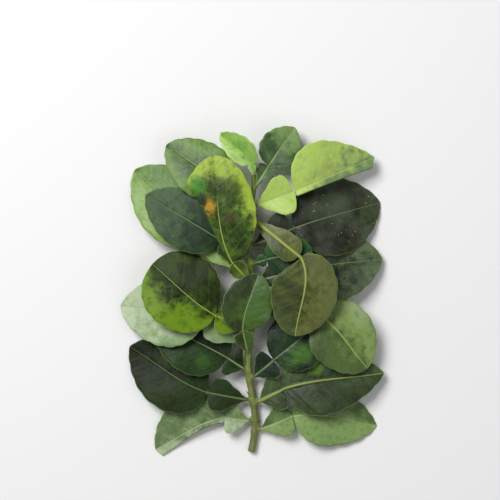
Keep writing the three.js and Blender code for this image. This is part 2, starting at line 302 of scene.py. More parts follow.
class Patch(Enum):
    """Where a leaf is bright: weights of the share along the blade, of the share across it with the
    left positive and of the share towards the margin, and a start."""

    NONE = (0.0, 0.0, 0.0, -1.2)
    LOWER_LEFT = (-0.7, 1.0, 0.25, 0.2)
    RIGHT = (0.1, -1.0, 0.1, 0.3)
    LEFT = (0.0, 1.0, 0.1, 0.1)
    RIM = (0.3, -0.15, 1.1, -0.2)
    TIP = (1.3, 0.0, 0.0, -0.45)
    BASE = (-0.9, 0.2, 0.1, 0.75)
    CROWN = (2.2, -0.25, 1.0, -1.6)


@dataclass(frozen=True)
class Spot:
    """A soft patch of its own: its place from the joint, its radius, its colour, its strength and how
    much longer it is along the leaf than across it."""

    along: float
    across: float
    radius: float
    colour: Rgb
    strength: float = 0.9
    stretch: float = 1.0


@dataclass(frozen=True)
class LeafFinish:
    """Colours of one leaf, as screen colours, and how they are spread over it."""

    body: Rgb
    shade: Rgb
    glow: Rgb
    patch: Patch = Patch.NONE
    rib: Rgb = (150, 165, 66)
    rim: Rgb = (140, 160, 80)
    rib_end: float = 1.5
    rim_share: float = 0.4
    vein_share: float = 0.13
    bloom: float = 0.08
    bruise: float = 0.0
    freckled: float = 0.38
    wax: float = 0.22
    roughness: float = 0.34
    specks: float = 0.0
    spots: tuple[Spot, ...] = ()

    under: Rgb = (112, 130, 74)
    under_share: float = 0.35
    haze: Rgb = (120, 134, 116)
    brown: Rgb = (46, 38, 26)
    grit: Rgb = (206, 190, 150)

    def material(self, name: str, seed: float) -> bpy.types.Material:
        """Make the material, which follows the leaf's rib, veins and margin.

        Args:
            name: the material's name.
            seed: shifts the blotches, so that no two leaves have the same ones.

        Returns:
            The material.
        """
        board = NodeBoard(name)
        along, across, margin, _ = board.attribute("leaf_mm")
        share, spread, upper, _ = board.attribute("leaf_share")
        where = board.vector(along, across, seed)
        broad = board.noise(where, size=15.0, detail=3.0)
        fine = board.noise(where, size=5.5, detail=4.0)
        grain = board.noise(where, size=1.3, detail=3.0)
        mottle = board.blend(((broad, 0.45), (fine, 0.45), (grain, 0.1)))
        veins = self.vein_lines(board, along, across, where, margin)

        colour = board.mix(board.step(mottle, low=0.38, high=0.62), self.shade, self.body)
        colour = board.mix(self.bright(board, share, spread, mottle, grain), colour, self.glow)
        if self.bruise:
            bruised = board.noise(board.vector(along, across, seed + 11.0), size=11.0, detail=4.0)
            colour = board.mix(board.step(bruised, low=0.5, high=0.68, top=self.bruise), colour, self.brown)
        for spot in self.spots:
            colour = board.mix(self.spot_share(board, spot, along, across, where), colour, spot.colour)
        freckles = board.noise(board.vector(along, across, seed + 5.0), size=3.2, detail=5.0)
        colour = board.mix(board.step(freckles, low=0.46, high=0.7, top=self.freckled), colour, self.shade)
        below = board.math("MULTIPLY", board.math("SUBTRACT", 1.0, upper), self.under_share)
        colour = board.mix(below, colour, self.under)
        colour = board.mix(board.math("MULTIPLY", veins, self.vein_share), colour, self.rib)
        colour = board.mix(self.rib_share(board, share, across, upper), colour, self.rib)
        colour = board.mix(board.fade(margin, low=0.2, high=0.75, top=self.rim_share), colour, self.rim)
        haze = board.step(board.noise(where, size=18.0, detail=3.0), low=0.38, high=0.7, top=self.bloom)
        colour = board.mix(haze, colour, self.haze)
        if self.specks:
            grit = board.fade(board.cells(where, size=2.2, feature="F1"), low=0.06, high=0.16)
            sandy = board.noise(where, size=12.0, detail=2.0)
            gritty = board.step(sandy, low=0.5, high=0.65, top=self.specks)
            colour = board.mix(board.math("MULTIPLY", grit, gritty), colour, self.grit)
        board.put(board.shader.inputs["Base Color"], colour)
        self.gloss(board, where, grain, fine, veins)
        return board.material

    def bright(
        self,
        board: NodeBoard,
        share: bpy.types.NodeSocket,
        spread: bpy.types.NodeSocket,
        mottle: bpy.types.NodeSocket,
        grain: bpy.types.NodeSocket,
    ) -> bpy.types.NodeSocket:
        """Return how bright a place is, from the patch's lie and the mottling."""
        tipward, leftward, outward, start = self.patch.value
        reach = board.math("POWER", board.math("ABSOLUTE", spread), 2.0)
        lie = board.blend(
            ((share, tipward), (spread, leftward), (reach, outward), (mottle, 3.0), (grain, 0.2))
        )
        return board.step(lie, low=1.45 - start, high=2.25 - start)

    def spot_share(
        self,
        board: NodeBoard,
        spot: Spot,
        along: bpy.types.NodeSocket,
        across: bpy.types.NodeSocket,
        where: bpy.types.NodeSocket,
    ) -> bpy.types.NodeSocket:
        """Return how much of a spot's colour shows, ragged at its rim."""
        x = board.math("DIVIDE", board.math("SUBTRACT", along, spot.along), spot.radius * spot.stretch)
        y = board.math("DIVIDE", board.math("SUBTRACT", across, spot.across), spot.radius)
        square = board.math("ADD", board.math("MULTIPLY", x, x), board.math("MULTIPLY", y, y))
        drift = board.noise(where, size=spot.radius, detail=4.0)
        ragged = board.blend(((board.math("SQRT", square), 1.0), (drift, 2.4)))
        return board.fade(ragged, low=1.5, high=2.5, top=spot.strength)

    def vein_lines(
        self,
        board: NodeBoard,
        along: bpy.types.NodeSocket,
        across: bpy.types.NodeSocket,
        where: bpy.types.NodeSocket,
        margin: bpy.types.NodeSocket,
    ) -> bpy.types.NodeSocket:
        """Return the side veins, which fade towards the margin, and the faint net between them."""
        phase = VEINS.phase_socket(board, along, across)
        from_middle = board.math("ABSOLUTE", board.math("SUBTRACT", board.math("FRACT", phase), 0.5))
        lines = board.step(from_middle, low=0.45, high=0.49)
        side = board.math("MULTIPLY", lines, board.step(margin, low=0.5, high=5.0))
        meshes = board.cells(where, size=1.7, feature="DISTANCE_TO_EDGE")
        net = board.fade(meshes, low=0.02, high=0.1, top=0.35)
        return board.math("MAXIMUM", side, net)

    def rib_share(
        self,
        board: NodeBoard,
        share: bpy.types.NodeSocket,
        across: bpy.types.NodeSocket,
        upper: bpy.types.NodeSocket,
    ) -> bpy.types.NodeSocket:
        """Return the rib, narrow above and broad below, which thins towards the tip."""
        above = board.math("MAXIMUM", board.blend(((share, -0.28),), 0.38), 0.08)
        below = board.math("MAXIMUM", board.blend(((share, -0.52),), 0.74), 0.18)
        width = board.math("ADD", below, board.math("MULTIPLY", upper, board.math("SUBTRACT", above, below)))
        reach = board.math("DIVIDE", board.math("ABSOLUTE", across), width)
        line = board.fade(reach, low=0.5, high=1.4, top=0.88)
        return board.math("MULTIPLY", line, board.fade(share, low=self.rib_end - 0.25, high=self.rib_end))

    def gloss(
        self,
        board: NodeBoard,
        where: bpy.types.NodeSocket,
        grain: bpy.types.NodeSocket,
        fine: bpy.types.NodeSocket,
        veins: bpy.types.NodeSocket,
    ) -> None:
        """Set the waxy gloss, the gland dots and the fine relief."""
        rough = board.blend(((fine, 0.35), (grain, 0.2)), self.roughness - 0.27)
        board.put(board.shader.inputs["Roughness"], rough)
        board.shader.inputs["Specular IOR Level"].default_value = self.wax
        glands = board.fade(board.cells(where, size=0.8, feature="F1"), low=0.08, high=0.34)
        board.bump(board.blend(((glands, 0.3), (veins, -0.32), (grain, 0.6), (fine, 2.3))), depth=0.00012)


@dataclass(frozen=True)
class LeafVeins:
    """Spacing and lie of the side veins, shared by the relief and the finish."""

    spacing: float = 5.2
    lean: float = 0.55
    bend: float = 0.012
    wander: float = 1.1
    wander_turn: float = 0.55

    def phase(self, along: np.ndarray, across: np.ndarray) -> np.ndarray:
        """Return a number that is whole on each side vein.

        Args:
            along: distance from the joint towards the tip.
            across: distance from the rib, left positive.

        Returns:
            The number at each place.
        """
        reach = np.abs(across)
        origin = along - self.lean * reach - self.bend * reach**2
        origin = origin + self.wander * np.sin(self.wander_turn * origin)
        return origin / self.spacing + np.where(across > 0, 0.5, 0.0)

    def phase_socket(
        self, board: NodeBoard, along: bpy.types.NodeSocket, across: bpy.types.NodeSocket
    ) -> bpy.types.NodeSocket:
        """Return the same number as a shader output."""
        reach = board.math("ABSOLUTE", across)
        lean = board.math("MULTIPLY", reach, self.lean)
        bend = board.math("MULTIPLY", board.math("MULTIPLY", reach, reach), self.bend)
        origin = board.math("SUBTRACT", board.math("SUBTRACT", along, lean), bend)
        turn = board.math("SINE", board.math("MULTIPLY", origin, self.wander_turn))
        origin = board.math("ADD", origin, board.math("MULTIPLY", turn, self.wander))
        left = board.math("MULTIPLY", board.math("GREATER_THAN", across, 0.0), 0.5)
        return board.math("ADD", board.math("DIVIDE", origin, self.spacing), left)


VEINS = LeafVeins()


@dataclass(frozen=True)
class Rows:
    """The cross-rows of a leaf, from its foot to its tip: one entry of each array for each row."""

    centre: np.ndarray
    side: np.ndarray
    top: np.ndarray
    half: np.ndarray
    rib: np.ndarray
    ripple: np.ndarray
    phase: np.ndarray
    distance: np.ndarray
    share: np.ndarray


@dataclass(frozen=True)
class Sheet:
    """The middle surface of a leaf, as grids of rows and columns."""

    places: np.ndarray
    normals: np.ndarray
    across: np.ndarray
    along: np.ndarray
    margin: np.ndarray
    share: np.ndarray
    spread: np.ndarray
    half: np.ndarray
    rib: np.ndarray


@dataclass(frozen=True)
class LeafMake:
    """Sizes that all the leaves share: those of the solids, then the finer ones of the mesh."""

    stalk_half_width: float = 1.0
    joint_half_width: float = 0.9
    rib_at_stalk: float = 1.1
    rib_at_joint: float = 0.85
    rib_at_tip: float = 0.1
    gap: float = 0.3
    wing_reach: float = 0.96
    wing_foot_power: float = 1.5
    round_power: float = 0.5
    follow: float = 0.6
    scallop_depth: float = 0.6
    scalloped_from: tuple[float, float] = (2.0, 4.0)
    plain_tip: float = 0.04
    ripples: float = 2.5
    ripple_height: float = 0.8
    ripple_shift: float = 2.0

    wing_scallops: int = 4
    blade_scallops: int = 9
    small_blade_scallops: int = 7
    small_blade: float = 30.0
    wing_rows: int = 44
    rows_in_scallop: int = 12
    columns: int = 38
    tucked_columns: int = 84
    column_power: float = 1.35
    fold_radius: float = 0.6
    rib_clearance: float = 1.2
    tuck: float = 0.8
    tuck_power: int = 6
    joint_swelling: float = 0.18
    joint_reach: float = 1.5
    least_half: float = 0.06
    thickness: float = 0.46
    edge_share: float = 0.45
    edge_width: float = 1.2
    quilting: float = 0.045
    vein_ridge: float = 0.07
    vein_sharpness: int = 6
    vein_from_rib: tuple[float, float] = (0.4, 2.5)
    vein_to_margin: tuple[float, float] = (0.0, 3.0)
    bare_stalk: tuple[float, float] = (1.3, 3.5)
    stalk_roundness: float = 0.35
    rib_width: float = 0.35
    rib_widening: float = 0.75
    rib_height: float = 0.95
    swell: float = 0.2
    swell_size: float = 11.0
    swell_from_rib: tuple[float, float] = (0.5, 5.0)
    groove: float = 0.14
    groove_width: float = 0.5

    def hump(self, u: np.ndarray, foot_power: float, end_power: float) -> np.ndarray:
        """Go from 0 over 1 to 0. The smaller a power, the rounder the hump is at that end.

        Args:
            u: the share along the hump.
            foot_power: the power at its start.
            end_power: the power at its end.

        Returns:
            The hump's height at each share.
        """
        widest = foot_power / (foot_power + end_power)
        peak = widest**foot_power * (1 - widest) ** end_power
        return u**foot_power * (1 - u) ** end_power / peak


MAKE = LeafMake()


@dataclass(frozen=True)
class Tuck:
    """A margin that is folded under on one side of a blade, 1 for its left.

    The fold runs start beyond the rib at the joint and growth further out at the tip.
    """

    side: int
    start: float
    growth: float

    def fold(self, across: np.ndarray, reach: np.ndarray) -> tuple[np.ndarray, np.ndarray]:
        """Fold places beyond the reach round and back under the blade.

        Args:
            across: each place's distance from the rib on the flat leaf.
            reach: how far the fold is from the rib in each row.

        Returns:
            The distances on the folded leaf, and how far below the blade they lie.
        """
        radius = MAKE.fold_radius
        past = np.where(across * self.side > 0, np.maximum(np.abs(across) - reach, 0.0), 0.0)
        turn = np.minimum(past / radius, math.pi)
        folded = np.minimum(np.abs(across), reach) + radius * np.sin(turn) - (past - turn * radius)
        return np.sign(across) * np.where(past > 0, folded, np.abs(across)), radius * (1 - np.cos(turn))


@dataclass
class Leaf:
    """A double leaf: a winged stalk, a joint and a blade, in one piece.

    Its lines, widths, folds and scallops are those of the leaf's solid. y is where it leaves the
    twig, roll lifts its left edge, fold is how steeply its left and right half rise from the rib,
    curl is how much less steep the margin is, and face is -1 where its underside is up. tucked is
    the margin that is folded under, if there is one.
    """

    name: str
    y: float
    joint: tuple[float, float, float]
    tip: tuple[float, float, float]
    wing: float
    blade: float
    arch: tuple[float, float]
    roll: float
    fold: tuple[float, float]
    curl: float
    point: float
    face: int
    finish: LeafFinish
    tucked: Tuck | None = None

    @property
    def seed(self) -> float:
        """Give the leaf its own place in the noises."""
        return 37.0 * int(self.name.removeprefix("leaf_"))

    @property
    def scallops(self) -> int:
        """Count the scallops of the blade's margin, which are fewer on a small blade."""
        return MAKE.small_blade_scallops if self.blade < MAKE.small_blade else MAKE.blade_scallops

    @property
    def blade_rows(self) -> int:
        """Count the rows of the blade."""
        return self.scallops * MAKE.rows_in_scallop

    @property
    def columns(self) -> int:
        """Count the columns, which lie closer where the blade is folded under."""
        return MAKE.tucked_columns if self.tucked else MAKE.columns

    def wing_line(self) -> np.ndarray:
        """Return the three control points of the winged stalk's rib."""
        out = TWIG_LINE.way_out(self.y, self.joint)
        foot = TWIG_LINE.cushion_end(self.y, out) + out * MAKE.gap
        foot[2] += MAKE.rib_at_stalk / 2
        joint = np.array(self.joint)
        return np.array([foot, foot + out * np.linalg.norm(joint - foot) / 2, joint])

    def blade_line(self, wing: np.ndarray) -> np.ndarray:
        """Return the four control points of the blade's rib.

        Args:
            wing: the control points of the winged stalk.

        Returns:
            The points, the first of them at the joint.
        """
        joint, tip = wing[2], np.array(self.tip)
        chord = (tip - joint) * [1, 1, 0]
        third = np.linalg.norm(chord) / 3
        ahead = unit(chord)
        set_out = unit(wing[2] - wing[1]) * [1, 1, 0]
        first = joint + unit(ahead + (set_out - ahead) * MAKE.follow) * third
        last = tip - ahead * third
        return np.array([joint, first + UP * self.arch[0], last + UP * self.arch[1], tip])

    def half_widths(self, u: np.ndarray, v: np.ndarray) -> tuple[np.ndarray, np.ndarray]:
        """Return the half widths of the winged stalk and of the blade, without their scallops.

        Args:
            u: shares along the winged stalk.
            v: shares along the blade.

        Returns:
            Two arrays. The wing is narrow at its foot and the blade at its tip.
        """
        stalk = MAKE.stalk_half_width + (MAKE.joint_half_width - MAKE.stalk_half_width) * u
        full = MAKE.hump(np.minimum(u / MAKE.wing_reach, 1.0), MAKE.wing_foot_power, MAKE.round_power)
        neck = MAKE.joint_half_width * (1 - v)
        blade = neck + (self.blade / 2 - neck) * MAKE.hump(v, MAKE.round_power, self.point)
        return stalk + (self.wing / 2 - stalk) * full, blade

    def rows(self) -> Rows:
        """Work out the cross-rows of the leaf.

        Returns:
            Their places and frames, their widths and what the ribs and the ripples need.
        """
        wing = self.wing_line()
        blade = self.blade_line(wing)
        first = np.arange(MAKE.wing_rows + 1) / MAKE.wing_rows
        second = np.arange(1, self.blade_rows + 1) / self.blade_rows
        u = np.sin(math.pi / 2 * first)
        v = (1 - np.cos(math.pi * second)) / 2
        centre = np.concatenate([bezier(wing, u), bezier(blade, v)])
        along = unit(np.concatenate([bezier(np.diff(wing, axis=0), u), bezier(np.diff(blade, axis=0), v)]))
        steps = np.linalg.norm(np.diff(centre, axis=0), axis=1)
        distance = np.concatenate([[0.0], np.cumsum(steps)])
        distance = distance - distance[MAKE.wing_rows]

        past = smooth_step(-MAKE.joint_reach, MAKE.joint_reach, distance)[:, None]
        turn = unit(wing[2] - wing[1]) * (1 - past) + unit(blade[1] - blade[0]) * past
        near = (np.abs(distance) < MAKE.joint_reach)[:, None]
        along = unit(np.where(near, turn, along))
        side = unit(np.cross(UP, along))
        top = np.cross(along, side)
        roll = np.radians(self.roll * np.concatenate([u, np.ones_like(v)]))[:, None]

        wing_half, blade_half = self.half_widths(u, v)
        wing_edge = np.abs(np.sin(math.pi * MAKE.wing_scallops * first))
        wing_edge = wing_edge * smooth_step(*MAKE.scalloped_from, wing_half)
        blade_edge = np.abs(np.sin(math.pi * self.scallops * second))
        blade_edge = blade_edge * smooth_step(0, MAKE.plain_tip, 1 - v)
        edge = MAKE.scallop_depth * np.concatenate([wing_edge, blade_edge])
        swelling = MAKE.joint_swelling * np.exp(-(distance**2))
        half = np.concatenate([wing_half, blade_half]) + edge + swelling
        tuck = MAKE.tuck * np.concatenate([(1 - u) ** MAKE.tuck_power, np.zeros_like(v)])[:, None]
        beat = np.concatenate([np.zeros_like(first), second])
        rib_wing = MAKE.rib_at_stalk + (MAKE.rib_at_joint - MAKE.rib_at_stalk) * u
        rib_blade = MAKE.rib_at_joint + (MAKE.rib_at_tip - MAKE.rib_at_joint) * v
        return Rows(
            centre=centre - along[0] * tuck,
            side=side * np.cos(roll) + top * np.sin(roll),
            top=top * np.cos(roll) - side * np.sin(roll),
            half=np.maximum(half, MAKE.least_half),
            rib=np.concatenate([rib_wing, rib_blade]),
            ripple=MAKE.ripple_height * np.sin(math.pi * beat),
            phase=2 * math.pi * MAKE.ripples * beat,
            distance=distance,
            share=np.concatenate([u - 1, v]),
        )

    def sheet(self) -> Sheet:
        """Work out the leaf's middle surface, with its soft swells."""
        rows = self.rows()
        spread = np.linspace(-1, 1, self.columns + 1)
        spread = np.sign(spread) * np.abs(spread) ** MAKE.column_power
        across, folded, drop = self.lay(rows, spread)
        share = np.abs(folded) / (self.blade / 2)
        fold = np.where(across > 0, self.fold[0], self.fold[1])
        slope = np.radians(fold - self.curl * share / 2)
        turn = rows.phase[:, None] + np.where(across > 0, 0.0, MAKE.ripple_shift)
        height = np.abs(folded) * np.sin(slope) + rows.ripple[:, None] * share**2 * np.sin(turn) - drop
        places = rows.centre[:, None, :] + rows.side[:, None, :] * (folded * np.cos(slope))[..., None]
        places = places + rows.top[:, None, :] * (height + self.swells(rows, across))[..., None]
        normals = unit(np.cross(np.gradient(places, axis=0), np.gradient(places, axis=1)))
        normals[-1] = normals[-2]
        grid = np.ones_like(across)
        return Sheet(
            places=places,
            normals=normals,
            across=across,
            along=rows.distance[:, None] * grid,
            margin=np.where(across > 0, across[:, -1:], -across[:, :1]) - np.abs(across),
            share=rows.share[:, None] * grid,
            spread=across / rows.half[:, None],
            half=rows.half[:, None] * grid,
            rib=rows.rib[:, None] * grid,
        )

    def lay(self, rows: Rows, spread: np.ndarray) -> tuple[np.ndarray, np.ndarray, np.ndarray]:
        """Spread the columns over each row, and fold them under where the margin is tucked.

        Args:
            rows: the cross-rows.
            spread: the columns' places, from -1 at the right margin to 1 at the left.

        Returns:
            Distances from the rib on the flat leaf, on the folded leaf, and the drop below the blade.
        """
        across = rows.half[:, None] * spread[None, :]
        if self.tucked is None:
            return across, across, np.zeros_like(across)
        on_blade = rows.share > 0
        far = self.tucked.start + self.tucked.growth * rows.share**2
        reach = np.where(on_blade, np.minimum(far, rows.half), rows.half)
        flap = math.pi * MAKE.fold_radius + np.maximum(reach - MAKE.rib_clearance, 0.0)
        limit = np.minimum(rows.half, reach + flap)
        is_tucked = spread[None, :] * self.tucked.side > 0
        across = np.where(is_tucked, limit[:, None] * spread[None, :], across)
        folded, drop = self.tucked.fold(across, reach[:, None])
        return across, folded, drop

    def swells(self, rows: Rows, across: np.ndarray) -> np.ndarray:
        """Return the height of the soft uneven swells of the blade.

        Args:
            rows: the cross-rows.
            across: each place's distance from the rib.

        Returns:
            Heights, none at the rib.
        """
        size = MAKE.swell_size
        heights = [
            [noise.noise(Vector((y / size, x / size, self.seed))) for x in line]
            for y, line in zip(rows.distance, across)
        ]
        return MAKE.swell * np.array(heights) * smooth_step(*MAKE.swell_from_rib, np.abs(across))

    def skins(self, sheet: Sheet) -> tuple[np.ndarray, np.ndarray]:
        """Lay the upper and the under skin of the leaf on either side of its middle surface.

        The upper skin domes between sunk veins, with a groove along the rib, and the under skin
        carries the rounded rib and the finer ridges of the veins.

        Args:
            sheet: the middle surface.

        Returns:
            The places of the two skins, in that order.
        """
        across, half = sheet.across, sheet.half
        vein = np.cos(2 * math.pi * VEINS.phase(sheet.along, across))
        inner = smooth_step(*MAKE.vein_to_margin, sheet.margin)
        inner = inner * smooth_step(*MAKE.vein_from_rib, np.abs(across))
        full = smooth_step(0, MAKE.edge_width, sheet.margin)
        thin = MAKE.thickness / 2 * (MAKE.edge_share + (1 - MAKE.edge_share) * full)
        stalk = 1 - smooth_step(*MAKE.bare_stalk, half)
        round_top = MAKE.stalk_roundness * stalk * np.sqrt(np.maximum(1 - (across / half) ** 2, 0))
        groove = MAKE.groove * np.exp(-((across / MAKE.groove_width) ** 2)) * (1 - stalk)
        width = np.minimum(MAKE.rib_width + MAKE.rib_widening * sheet.rib, half)
        ridge = MAKE.rib_height * sheet.rib * np.sqrt(np.maximum(1 - (across / width) ** 2, 0))
        ridges = MAKE.vein_ridge * np.maximum(vein, 0) ** MAKE.vein_sharpness * inner
        upward = sheet.normals * self.face
        middle = sheet.places - upward * (MAKE.quilting * vein * inner)[..., None]
        upper = middle + upward * (thin + round_top - groove)[..., None]
        under = middle - upward * (thin + ridge + ridges)[..., None]
        for skin in (upper, under):
            skin[..., 2] = np.maximum(skin[..., 2], 0.0)
        return upper, under

    def build(self) -> bpy.types.Object:
        """Make the leaf's mesh and dress it.

        Returns:
            The finished object.
        """
        sheet = self.sheet()
        upper, under = self.skins(sheet)
        piece = Piece(f"{self.name}_skin", "leaf")
        grid = piece.mesh
        last_row = MAKE.wing_rows + self.blade_rows
        bmesh.ops.create_grid(grid, x_segments=self.columns, y_segments=last_row, size=1.0)
        lengths = grid.verts.layers.float_vector.new("leaf_mm")
        shares = grid.verts.layers.float_vector.new("leaf_share")
        number = grid.verts.layers.int.new("leaf_corner")
        for corner in grid.verts:
            row = round((corner.co.y + 1) / 2 * last_row)
            column = round((1 - corner.co.x) / 2 * self.columns)
            at = (row, column)
            corner[number] = row * (self.columns + 1) + column
            corner[lengths] = (sheet.along[at], sheet.across[at], sheet.margin[at])
            corner[shares] = (sheet.share[at], sheet.spread[at], 0.0)
            corner.co = under[at]
        made = bmesh.ops.extrude_face_region(grid, geom=grid.faces[:], use_keep_orig=True)
        upper_list = upper.reshape(-1, 3)
        for corner in made["geom"]:
            if isinstance(corner, bmesh.types.BMVert):
                corner.co = upper_list[corner[number]]
                corner[shares] = (corner[shares][0], corner[shares][1], 1.0)
        bmesh.ops.recalc_face_normals(grid, faces=grid.faces[:])
        return piece.finish(self.finish.material(self.name, self.seed), self.name)


